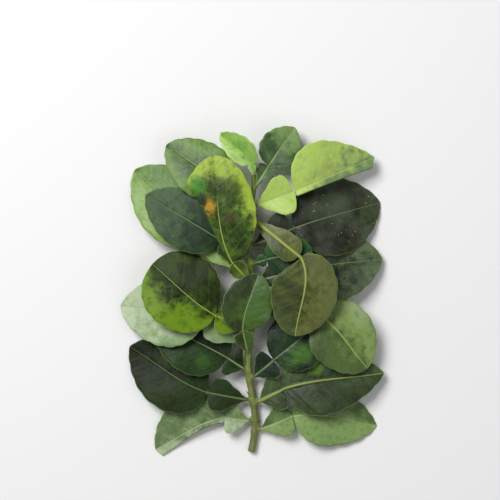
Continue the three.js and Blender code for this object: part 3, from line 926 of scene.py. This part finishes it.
LEAVES = (
    Leaf(
        name="leaf_01", y=-80, joint=(24, -71, 4.5), tip=(73, -77, 0.3), wing=19, blade=34,
        arch=(3, 0), roll=-5, fold=(8, 8), curl=16, point=0.8, face=1,
        finish=LeafFinish(
            body=(98, 122, 68), shade=(70, 94, 48), glow=(124, 152, 88), patch=Patch.RIGHT,
            rib=(150, 166, 96), rim=(140, 160, 104),
        ),
    ),
    Leaf(
        name="leaf_02", y=-74, joint=(-16, -72, 4.5), tip=(-56, -90.66, 0.3), wing=17, blade=36,
        arch=(3, 0), roll=6, fold=(8, 14), curl=12, point=0.7, face=1,
        finish=LeafFinish(
            body=(120, 142, 94), shade=(82, 106, 62), glow=(160, 178, 138), patch=Patch.LEFT,
            rib=(150, 170, 116), vein_share=0.3, bloom=0.12,
        ),
        tucked=Tuck(side=1, start=2, growth=3),
    ),
    Leaf(
        name="leaf_03", y=-64, joint=(19, -55, 7.5), tip=(77, -46, 6), wing=21, blade=40,
        arch=(4, 3), roll=-7, fold=(8, 8), curl=16, point=0.9, face=-1,
        finish=LeafFinish(
            body=(50, 66, 32), shade=(25, 35, 18), glow=(62, 84, 44), patch=Patch.LEFT,
            rib=(146, 162, 80), rim=(138, 160, 92), rim_share=0.7, under=(60, 76, 44), under_share=0.2,
            spots=(
                Spot(along=22, across=14, radius=8, colour=(104, 150, 40)),
            ),
        ),
    ),
    Leaf(
        name="leaf_04", y=-62, joint=(-26, -57, 8), tip=(-71, -31, 0.3), wing=19, blade=40,
        arch=(3, 0), roll=6, fold=(8, 8), curl=16, point=0.75, face=1,
        finish=LeafFinish(
            body=(30, 38, 22), shade=(20, 23, 15), glow=(38, 54, 26), patch=Patch.BASE,
            rib=(104, 124, 78), rim=(120, 134, 104), rim_share=0.5, bruise=0.5, bloom=0.03, wax=0.06,
            vein_share=0.07,
        ),
    ),
    Leaf(
        name="leaf_05", y=-50, joint=(13, -38, 9.5), tip=(48, -10, 8), wing=18, blade=34,
        arch=(3, 3), roll=-4, fold=(6, 6), curl=12, point=0.8, face=1,
        finish=LeafFinish(
            body=(26, 48, 26), shade=(18, 32, 20), glow=(34, 66, 34), patch=Patch.TIP,
            rib=(104, 130, 74),
            spots=(
                Spot(along=13, across=-7, radius=6.5, colour=(70, 112, 34), strength=0.7, stretch=1.7),
            ),
        ),
    ),
    Leaf(
        name="leaf_06", y=-45, joint=(-14, -37, 9), tip=(-58, -15, 7), wing=18.5, blade=38,
        arch=(4, 2), roll=8, fold=(8, 8), curl=16, point=0.75, face=1,
        finish=LeafFinish(
            body=(30, 45, 22), shade=(19, 29, 15), glow=(38, 60, 28), patch=Patch.LEFT,
            rib=(126, 148, 98), bloom=0.04, wax=0.1, vein_share=0.08,
            spots=(
                Spot(along=12, across=8, radius=4, colour=(52, 92, 30), strength=0.7),
            ),
        ),
    ),
    Leaf(
        name="leaf_07", y=-36, joint=(-5, -21, 17), tip=(4, 12, 18), wing=11, blade=28,
        arch=(3, 1), roll=0, fold=(8, 8), curl=12, point=0.7, face=1,
        finish=LeafFinish(
            body=(54, 74, 30), shade=(32, 46, 20), glow=(66, 96, 40), patch=Patch.RIGHT,
            rib=(132, 150, 76),
        ),
    ),
    Leaf(
        name="leaf_08", y=-29, joint=(-27, -15, 13.5), tip=(-76, -7, 2.5), wing=18, blade=40,
        arch=(4, 3), roll=8, fold=(6, 6), curl=12, point=0.7, face=1,
        finish=LeafFinish(
            body=(146, 168, 120), shade=(116, 142, 94), glow=(170, 186, 150), patch=Patch.TIP,
            rib=(156, 178, 124), rim=(164, 186, 142), bloom=0.1,
        ),
    ),
    Leaf(
        name="leaf_09", y=-21, joint=(-21, -12, 17.8), tip=(-57, 17, 13), wing=16.5, blade=45,
        arch=(4, 4), roll=7, fold=(5, 5), curl=10, point=0.48, face=1,
        finish=LeafFinish(
            body=(50, 68, 20), shade=(22, 31, 11), glow=(104, 136, 30), patch=Patch.LOWER_LEFT,
            rib=(142, 162, 84), rim=(140, 160, 96), rim_share=0.7, bloom=0.03, wax=0.06,
            vein_share=0.08,
        ),
    ),
    Leaf(
        name="leaf_10", y=-6, joint=(36, -11, 13), tip=(67, -43, 10.5), wing=22, blade=38,
        arch=(3, 3), roll=-4, fold=(6, 6), curl=12, point=0.62, face=-1,
        finish=LeafFinish(
            body=(76, 98, 42), shade=(56, 74, 34), glow=(132, 158, 86), patch=Patch.LEFT,
            rib=(152, 172, 88), rim=(140, 166, 92), under=(88, 108, 60), under_share=0.2,
            spots=(
                Spot(along=18, across=20, radius=10, colour=(152, 168, 118)),
            ),
        ),
    ),
    Leaf(
        name="leaf_11", y=5, joint=(-11, 18, 21), tip=(-22, 79, 22.2), wing=10, blade=42,
        arch=(4, 4), roll=0, fold=(-2, 8), curl=12, point=0.58, face=1,
        finish=LeafFinish(
            body=(70, 100, 34), shade=(30, 44, 18), glow=(152, 178, 62), patch=Patch.CROWN,
            rib=(158, 172, 74), rib_end=0.7, rim=(160, 182, 90), vein_share=0.16, bloom=0.02, wax=0.14,
            spots=(
                Spot(along=-14, across=0, radius=9, colour=(118, 138, 54)),
                Spot(along=41, across=-7, radius=7.5, colour=(44, 64, 26), strength=0.75, stretch=1.3),
                Spot(along=47, across=12.0, radius=7.2, colour=(46, 122, 16), strength=0.9, stretch=0.8),
                Spot(along=27, across=-6, radius=5, colour=(84, 66, 40), strength=0.38),
                Spot(along=34, across=4.0, radius=3.2, colour=(180, 136, 42), strength=0.9, stretch=1.6),
            ),
        ),
        tucked=Tuck(side=1, start=1, growth=26),
    ),
    Leaf(
        name="leaf_12", y=7, joint=(27, 14, 14.5), tip=(76, 20, 4), wing=24, blade=42,
        arch=(4, 3), roll=-7, fold=(6, 6), curl=12, point=0.75, face=1,
        finish=LeafFinish(
            body=(48, 63, 38), shade=(25, 33, 20), glow=(92, 110, 76), patch=Patch.TIP,
            rib=(112, 130, 84), bruise=0.3, bloom=0.12,
        ),
    ),
    Leaf(
        name="leaf_13", y=10, joint=(-27, 34, 9.2), tip=(-68, 72, 0.3), wing=18.5, blade=42,
        arch=(4, 0), roll=4, fold=(6, 6), curl=12, point=0.7, face=1,
        finish=LeafFinish(
            body=(98, 134, 56), shade=(72, 108, 42), glow=(132, 164, 84), patch=Patch.LEFT,
            rib=(156, 176, 106), rim=(148, 172, 100),
        ),
    ),
    Leaf(
        name="leaf_14", y=20, joint=(-18, 31, 17.4), tip=(-61, 57, 10), wing=15, blade=34,
        arch=(3, 3), roll=3, fold=(6, 6), curl=12, point=0.72, face=1,
        finish=LeafFinish(
            body=(42, 66, 38), shade=(24, 42, 24), glow=(70, 94, 60), patch=Patch.TIP,
            rib=(104, 128, 86), vein_share=0.08, roughness=0.45, bloom=0.05, wax=0.12,
        ),
    ),
    Leaf(
        name="leaf_15", y=27, joint=(25, 38, 15), tip=(75, 53, 0.3), wing=24, blade=46,
        arch=(4, 0), roll=-7, fold=(6, 6), curl=12, point=0.72, face=1,
        finish=LeafFinish(
            body=(40, 44, 30), shade=(24, 26, 19), glow=(58, 68, 46), patch=Patch.TIP,
            rib=(104, 122, 76), bruise=0.6, bloom=0.2, specks=0.8, wax=0.16, vein_share=0.08,
        ),
    ),
    Leaf(
        name="leaf_16", y=44, joint=(28, 21, 23), tip=(25, -24, 19), wing=15, blade=37,
        arch=(2, 2), roll=0, fold=(6, 6), curl=12, point=0.6, face=-1,
        finish=LeafFinish(
            body=(70, 84, 30), shade=(30, 39, 14), glow=(98, 104, 52), patch=Patch.LEFT,
            rib=(160, 172, 86), under=(78, 88, 46), under_share=0.2, bruise=0.3,
        ),
    ),
    Leaf(
        name="leaf_17", y=50, joint=(-14, 61, 16.4), tip=(-49, 86, 10), wing=17, blade=32,
        arch=(3, 3), roll=6, fold=(6, 6), curl=12, point=0.7, face=1,
        finish=LeafFinish(
            body=(70, 104, 34), shade=(48, 78, 24), glow=(98, 130, 54), patch=Patch.RIM,
            rib=(148, 170, 98), rim=(140, 166, 98),
        ),
    ),
    Leaf(
        name="leaf_18", y=50, joint=(25, 59, 18), tip=(71, 79, 7), wing=23, blade=43,
        arch=(4, 3), roll=-8, fold=(16, 12), curl=12, point=0.9, face=1,
        finish=LeafFinish(
            body=(122, 142, 100), shade=(98, 120, 76), glow=(168, 196, 92), patch=Patch.BASE,
            rib=(178, 196, 112), rim=(172, 192, 118), freckled=0.22,
            spots=(
                Spot(along=20, across=4, radius=7, colour=(150, 158, 84), strength=0.5),
                # painted shade: a darker grey-green band laid along the fold where the right margin is
                # tucked under
                Spot(along=24, across=-3.5, radius=4.0, colour=(100, 124, 84), strength=0.85, stretch=4.0),
            ),
        ),
        tucked=Tuck(side=-1, start=2.5, growth=3),
    ),
    Leaf(
        name="leaf_19", y=60, joint=(10, 74, 13), tip=(25, 96.1, 9), wing=10, blade=23,
        arch=(2, 1), roll=0, fold=(12, 12), curl=12, point=0.75, face=1,
        finish=LeafFinish(
            body=(80, 108, 62), shade=(56, 80, 44), glow=(116, 144, 86), patch=Patch.TIP,
            rib=(140, 162, 98),
        ),
    ),
    Leaf(
        name="leaf_20", y=66, joint=(0, 74, 16), tip=(-18, 92.5, 14.5), wing=6, blade=19,
        arch=(1, 1), roll=0, fold=(46, 46), curl=10, point=0.8, face=1,
        finish=LeafFinish(
            body=(152, 190, 96), shade=(110, 156, 68), glow=(184, 216, 126), patch=Patch.LEFT,
            rib=(166, 192, 104), rim=(170, 196, 116),
        ),
    ),
    Leaf(
        name="leaf_21", y=17, joint=(8.5, 20, 17.1), tip=(35, 25, 18.9), wing=7, blade=24,
        arch=(2, 2), roll=0, fold=(5, 5), curl=12, point=0.7, face=1,
        finish=LeafFinish(
            body=(34, 66, 34), shade=(24, 46, 26), glow=(44, 84, 40), patch=Patch.LEFT,
            rib=(96, 126, 70), rim=(96, 128, 72), bloom=0.04, wax=0.16,
        ),
    ),
)


@dataclass(frozen=True)
class BarkFinish:
    """Green bark, greyer towards the cut end, with pale lengthwise streaks and corky specks."""

    green: Rgb = (98, 122, 40)
    old: Rgb = (98, 100, 58)
    streak: Rgb = (146, 156, 88)
    cork: Rgb = (150, 136, 100)

    def material(self) -> bpy.types.Material:
        """Make the bark's material, which follows the stem."""
        board = NodeBoard("twig_bark")
        along, sideways, upward, _ = board.attribute("twig_mm")
        where = board.vector(along, sideways, upward)
        stretched = board.vector(board.math("MULTIPLY", along, 0.1), sideways, upward)
        streaks = board.noise(stretched, size=0.5, detail=3.0)
        patches = board.noise(where, size=6.0, detail=3.0)
        colour = board.mix(board.fade(along, low=-92.0, high=-20.0, top=0.8), self.green, self.old)
        colour = board.mix(board.step(streaks, low=0.48, high=0.7, top=0.6), colour, self.streak)
        colour = board.mix(board.step(patches, low=0.54, high=0.74, top=0.5), colour, self.cork)
        pores = board.fade(board.cells(where, size=2.6, feature="F1"), low=0.08, high=0.2)
        colour = board.mix(board.math("MULTIPLY", pores, 0.7), colour, self.cork)
        board.put(board.shader.inputs["Base Color"], colour)
        board.shader.inputs["Roughness"].default_value = 0.52
        board.bump(board.blend(((streaks, 1.0), (pores, 0.8))), depth=0.00025)
        return board.material


@dataclass(frozen=True)
class ThornFinish:
    """Green at the foot of the thorn and brown at its tip."""

    green: Rgb = (104, 126, 46)
    tip: Rgb = (112, 72, 38)

    def material(self) -> bpy.types.Material:
        """Make the thorns' material, which follows each thorn."""
        board = NodeBoard("thorn_skin")
        share, sideways, _, _ = board.attribute("grown")
        place = board.vector(board.math("MULTIPLY", share, 2.0), sideways, 0.0)
        grain = board.noise(place, size=0.3, detail=2.0)
        ripe = board.blend(((share, 1.0), (grain, 0.3)))
        colour = board.mix(board.step(ripe, low=0.65, high=1.05), self.green, self.tip)
        board.put(board.shader.inputs["Base Color"], colour)
        board.shader.inputs["Roughness"].default_value = 0.45
        board.bump(grain, depth=0.0001)
        return board.material


@dataclass(frozen=True)
class BudFinish:
    """Fresh green scales with brown edges."""

    green: Rgb = (120, 148, 58)
    edge: Rgb = (112, 98, 52)

    def material(self) -> bpy.types.Material:
        """Make the buds' material, which follows each bud."""
        board = NodeBoard("bud_scales")
        height, ridge, _, where = board.attribute("grown")
        grain = board.noise(where, size=0.25, detail=2.0)
        brown = board.blend(((ridge, 0.8), (grain, 0.5)))
        colour = board.mix(board.step(brown, low=0.7, high=1.1, top=0.8), self.green, self.edge)
        colour = board.mix(board.step(height, low=0.5, high=1.1, top=0.5), colour, self.edge)
        board.put(board.shader.inputs["Base Color"], colour)
        board.shader.inputs["Roughness"].default_value = 0.5
        board.bump(grain, depth=0.0001)
        return board.material


@dataclass(frozen=True)
class CutFinish:
    """Pale wet wood with a whiter pith and a green rim."""

    wood: Rgb = (196, 202, 142)
    pith: Rgb = (226, 226, 198)
    bark: Rgb = (96, 112, 50)
    size: float = 1.98

    def material(self) -> bpy.types.Material:
        """Make the cut's material, which follows the distance from the pith."""
        board = NodeBoard("twig_cut")
        _, sideways, upward, where = board.attribute("grown")
        square = board.math("MULTIPLY", sideways, sideways)
        square = board.math("ADD", square, board.math("MULTIPLY", upward, upward))
        radius = board.math("DIVIDE", board.math("SQRT", square), self.size)
        grain = board.noise(where, size=0.2, detail=3.0)
        ragged = board.blend(((radius, 1.0), (grain, 0.3)))
        colour = board.mix(board.step(ragged, low=0.4, high=0.55), self.pith, self.wood)
        colour = board.mix(board.step(ragged, low=0.95, high=1.08), colour, self.bark)
        board.put(board.shader.inputs["Base Color"], colour)
        board.shader.inputs["Roughness"].default_value = 0.6
        board.bump(grain, depth=0.0002)
        return board.material


@dataclass
class Twig:
    """The green stem with its cushions, thorns and buds, and its cut end."""

    stem_steps: int = 140
    stem_sides: int = 22
    node_swelling: float = 0.3
    node_reach: float = 1.9
    cushion_radii: tuple[float, ...] = (1.6, 1.65, 1.6, 1.45, 1.3, 1.2, 1.22, 1.2, 1.0)
    cushion_sides: int = 14
    thorn_length: float = 6.5
    thorn_radii: tuple[float, ...] = (0.95, 0.95, 0.85, 0.7, 0.58, 0.48, 0.38, 0.28, 0.17, 0.04)
    thorn_sides: int = 12
    thorn_lean: tuple[float, float, float] = (0.0, 1.2, 0.5)
    thorn_every: int = 3
    thorn_limit: float = 0.6
    bud_radius: float = 1.05
    bud_place: tuple[float, float, float] = (0.0, 1.3, 0.2)
    bud_follow: float = 0.6
    bud_rise: tuple[float, float, float] = (0.0, 0.8, 0.3)
    bud_scales: int = 3
    bud_twist: float = 2.5
    scale_relief: float = 0.09
    bud_taper: float = 0.3
    bud_stretch: float = 0.4
    end_bud_radius: float = 1.25
    cut_radius: float = 1.98
    cut_depths: tuple[float, ...] = (-0.6, -0.1, 0.04, 0.08, 0.1, 0.1, 0.09)
    cut_shares: tuple[float, ...] = (0.96, 1.0, 0.96, 0.75, 0.5, 0.25, 0.03)
    voxel: float = 0.28
    smoothings: int = 4
    ridges: int = 5
    ridge_depth: float = 0.07
    ridge_twist: float = 0.08
    roughness: float = 0.05
    rough_stretch: float = 3

    def tube(self, mesh: bmesh.types.BMesh, centres: np.ndarray, radii: np.ndarray, sides: int) -> None:
        """Add a closed tube. The layer grown gets the share of its length and the place across it.

        Args:
            mesh: the mesh that it is added to.
            centres: points along its middle.
            radii: its radius at each of them.
            sides: how many faces go round it.
        """
        grown = mesh.verts.layers.float_vector["grown"]
        ahead = unit(centres[-1] - centres[0])
        along = unit(np.gradient(centres, axis=0) + ahead * 1e-3)
        ring = bmesh.ops.create_circle(mesh, cap_ends=False, segments=sides, radius=1.0)["verts"]
        first = ring
        flat = [(corner.co.x, corner.co.y) for corner in ring]
        for step, (centre, radius) in enumerate(zip(centres, radii)):
            if step:
                ring = self.grow_ring(mesh, ring)
            side = unit(np.cross(along[step], NEARLY_UP))
            top = np.cross(side, along[step])
            for corner, (x, y) in zip(ring, flat):
                corner.co = centre + (side * x + top * y) * radius
                corner[grown] = (step / (len(centres) - 1), x * radius, y * radius)
        mesh.faces.new(first)
        mesh.faces.new(ring)

    def grow_ring(
        self, mesh: bmesh.types.BMesh, ring: list[bmesh.types.BMVert]
    ) -> list[bmesh.types.BMVert]:
        """Extrude a ring of corners.

        Args:
            mesh: the mesh that the ring belongs to.
            ring: its corners in order.

        Returns:
            The new ring's corners, in the same order.
        """
        members = set(ring)
        edges = {e for corner in ring for e in corner.link_edges if e.other_vert(corner) in members}
        made = set(bmesh.ops.extrude_edge_only(mesh, edges=list(edges))["geom"])
        return [next(e.other_vert(c) for e in c.link_edges if e.other_vert(c) in made) for c in ring]

    def start(self, name: str) -> Piece:
        """Start a piece of the twig, with the layer that its finish follows."""
        piece = Piece(name, "twig")
        piece.mesh.verts.layers.float_vector.new("grown")
        return piece

    def stem(self) -> None:
        """Make the stem and its cushions, melt them into one skin and dress it."""
        piece = self.start("twig_stem")
        shares = np.linspace(0, 1, self.stem_steps + 1)
        centres = np.array([TWIG_LINE.point(share) for share in shares])
        radii = np.array([TWIG_LINE.radius(share) for share in shares])
        for leaf in LEAVES:
            apart = (centres[:, 1] - leaf.y) / self.node_reach
            radii = radii + self.node_swelling * np.exp(-(apart**2))
        self.tube(piece.mesh, centres, radii, self.stem_sides)
        for leaf in LEAVES:
            foot = TWIG_LINE.point(TWIG_LINE.share(leaf.y))
            end = TWIG_LINE.cushion_end(leaf.y, TWIG_LINE.way_out(leaf.y, leaf.joint))
            steps = np.linspace(0, 1, len(self.cushion_radii))[:, None]
            line = foot + (end - foot) * steps
            self.tube(piece.mesh, line, np.array(self.cushion_radii), self.cushion_sides)
        bmesh.ops.recalc_face_normals(piece.mesh, faces=piece.mesh.faces[:])
        self.grow_together(piece.finish(BarkFinish().material(), "twig"))

    def grow_together(self, shown: bpy.types.Object) -> None:
        """Melt the stem's closed parts into one skin with low ridges, which stays off the floor.

        Args:
            shown: the object whose mesh is changed.
        """
        melt = shown.modifiers.new("melt", "REMESH")
        melt.mode = "VOXEL"
        melt.voxel_size = self.voxel * MM
        melted = bpy.data.meshes.new_from_object(shown.evaluated_get(bpy.context.evaluated_depsgraph_get()))
        shown.modifiers.clear()
        shown.data = melted
        skin = bmesh.new()
        skin.from_mesh(melted)
        axes = {"use_axis_x": True, "use_axis_y": True, "use_axis_z": True}
        for _ in range(self.smoothings):
            bmesh.ops.smooth_vert(skin, verts=skin.verts[:], factor=0.5, **axes)
        skin.normal_update()
        lengths = skin.verts.layers.float_vector.new("twig_mm")
        for corner in skin.verts:
            y = corner.co.y / MM + MIDDLE_Y
            centre = TWIG_LINE.point(min(max(TWIG_LINE.share(y), 0.0), 1.0))
            sideways = corner.co.x / MM + MIDDLE_X - centre[0]
            upward = corner.co.z / MM - centre[2]
            corner[lengths] = (y, sideways, upward)
            turn = self.ridges * math.atan2(upward, sideways) + self.ridge_twist * y
            ridge = self.ridge_depth * math.sin(turn)
            rough = self.roughness * noise.noise(Vector((sideways, y / self.rough_stretch, upward)))
            around = 1 - corner.normal.y**2
            corner.co += corner.normal * (ridge + rough) * around * MM
            corner.co.z = max(corner.co.z, 0.0)
        skin.to_mesh(melted)
        skin.free()
        melted.shade_smooth()

    def thorns(self) -> None:
        """Make the thorns, one beside every third leaf where there is room."""
        piece = self.start("twig_thorns")
        for leaf in LEAVES[:: self.thorn_every]:
            out = TWIG_LINE.way_out(leaf.y, leaf.joint)
            if out[1] >= self.thorn_limit:
                continue
            share = TWIG_LINE.share(leaf.y)
            length = TWIG_LINE.radius(share) + self.thorn_length
            steps = np.linspace(0, length, len(self.thorn_radii))[:, None]
            centres = TWIG_LINE.point(share) + unit(out + np.array(self.thorn_lean)) * steps
            self.tube(piece.mesh, centres, np.array(self.thorn_radii), self.thorn_sides)
        bmesh.ops.recalc_face_normals(piece.mesh, faces=piece.mesh.faces[:])
        piece.finish(ThornFinish().material(), "twig")

    def bud(self, mesh: bmesh.types.BMesh, place: np.ndarray, axis: np.ndarray, radius: float) -> None:
        """Add an egg-shaped bud with three overlapping scales.

        Args:
            mesh: the mesh that it is added to.
            place: its middle.
            axis: the direction in which it points.
            radius: its radius.
        """
        grown = mesh.verts.layers.float_vector["grown"]
        side = unit(np.cross(axis, NEARLY_UP))
        top = np.cross(side, axis)
        for corner in bmesh.ops.create_icosphere(mesh, subdivisions=3, radius=1.0)["verts"]:
            x, y, height = corner.co
            upper = max(height, 0.0)
            ridge = max(math.cos(self.bud_scales * math.atan2(y, x) + self.bud_twist * height), 0.0)
            width = radius * (1 - self.bud_taper * upper) * (1 + self.scale_relief * ridge)
            length = axis * height * (1 + self.bud_stretch * upper) * radius
            corner.co = place + (side * x + top * y) * width + length
            corner[grown] = (height, ridge, x)

    def buds(self) -> None:
        """Make the bud in the corner of each leaf and the one at the growing tip."""
        piece = self.start("twig_buds")
        for leaf in LEAVES:
            out = TWIG_LINE.way_out(leaf.y, leaf.joint)
            share = TWIG_LINE.share(leaf.y)
            place = TWIG_LINE.point(share) + out * TWIG_LINE.radius(share) + np.array(self.bud_place)
            axis = unit(out * self.bud_follow + np.array(self.bud_rise))
            self.bud(piece.mesh, place, axis, self.bud_radius)
        self.bud(piece.mesh, TWIG_LINE.point(1.0), TWIG_LINE.ahead(1.0), self.end_bud_radius)
        bmesh.ops.recalc_face_normals(piece.mesh, faces=piece.mesh.faces[:])
        piece.finish(BudFinish().material(), "twig")

    def cut(self) -> None:
        """Make the face of the cut end, slightly domed."""
        piece = self.start("twig_cut")
        back = -TWIG_LINE.ahead(0.0)
        centres = TWIG_LINE.point(0.0) + back * np.array(self.cut_depths)[:, None]
        radii = np.array(self.cut_shares) * self.cut_radius
        self.tube(piece.mesh, centres, radii, self.stem_sides * 2)
        for corner in piece.mesh.verts:
            corner.co.z = max(corner.co.z, 0.0)
        bmesh.ops.recalc_face_normals(piece.mesh, faces=piece.mesh.faces[:])
        piece.finish(CutFinish().material(), "twig")

    def build(self) -> None:
        """Make each piece of the twig."""
        self.stem()
        self.thorns()
        self.buds()
        self.cut()


@dataclass
class Studio:
    """The pale floor, the soft lights and the camera above.

    pixel is a pixel of the picture in millimetres, picture its side in pixels, and leaves_middle the
    pixel on which the leaves are centred. middle_height is halfway up the sprig, in metres.
    """

    pixel: float = 0.574
    picture: int = 500
    leaves_middle: tuple[float, float] = (251.5, 294.0)
    lens: float = 120.0
    sensor: float = 36.0
    nearest: float = 0.005
    middle_height: float = 0.015
    floor_colour: Rgb = (238, 238, 237)
    floor_half_width: float = 2.0
    sky_colour: tuple[float, float, float, float] = (0.97, 0.98, 1.0, 1.0)
    sky_strength: float = 0.26

    def floor(self) -> None:
        """Lay the floor."""
        board = NodeBoard("floor_pale")
        board.shader.inputs["Base Color"].default_value = linear(self.floor_colour)
        board.shader.inputs["Roughness"].default_value = 0.9
        mesh = bmesh.new()
        bmesh.ops.create_grid(mesh, x_segments=1, y_segments=1, size=self.floor_half_width)
        data = bpy.data.meshes.new("floor")
        mesh.to_mesh(data)
        mesh.free()
        data.materials.append(board.material)
        shown = bpy.data.objects.new("floor", data)
        bpy.context.scene.collection.objects.link(shown)

    def lamp(self, name: str, place: tuple[float, float, float], size: float, watts: float) -> None:
        """Hang a square soft light that faces the sprig.

        Args:
            name: the light's name.
            place: where it hangs, in metres.
            size: the length of its side, in metres.
            watts: its power.
        """
        data = bpy.data.lights.new(name, "AREA")
        data.size = size
        data.energy = watts
        shown = bpy.data.objects.new(name, data)
        shown.location = place
        shown.rotation_euler = Vector(place).to_track_quat("Z", "Y").to_euler()
        bpy.context.scene.collection.objects.link(shown)

    def lights(self) -> None:
        """Light the sprig evenly, a little more from the upper left."""
        world = bpy.data.worlds.new("studio")
        world.use_nodes = True
        sky = world.node_tree.nodes["Background"]
        sky.inputs["Color"].default_value = self.sky_colour
        sky.inputs["Strength"].default_value = self.sky_strength
        bpy.context.scene.world = world
        self.lamp("key", place=(-0.6, 0.65, 1.15), size=0.7, watts=19.5)
        self.lamp("fill", place=(0.9, -0.5, 1.1), size=1.2, watts=3.5)

    def camera(self) -> None:
        """Hang the camera straight above, so that the sprig fills its part of the picture."""
        data = bpy.data.cameras.new("camera")
        data.lens = self.lens
        data.sensor_width = self.sensor
        data.clip_start = self.nearest
        side = self.pixel * self.picture * MM
        across = (self.picture / 2 - self.leaves_middle[0]) * self.pixel - MIDDLE_X
        up = (self.leaves_middle[1] - self.picture / 2) * self.pixel - MIDDLE_Y
        height = side * self.lens / self.sensor + self.middle_height
        shown = bpy.data.objects.new("camera", data)
        shown.location = (across * MM, up * MM, height)
        bpy.context.scene.collection.objects.link(shown)
        bpy.context.scene.camera = shown

    def build(self) -> None:
        """Make the floor, the lights and the camera."""
        self.floor()
        self.lights()
        self.camera()
        bpy.context.scene.view_settings.view_transform = "Standard"


def main() -> None:
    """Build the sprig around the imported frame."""
    logging.basicConfig(level=logging.INFO, format="%(message)s")
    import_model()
    Studio().build()
    Twig().build()
    for leaf in LEAVES:
        leaf.build()


if __name__ == "__main__":
    main()
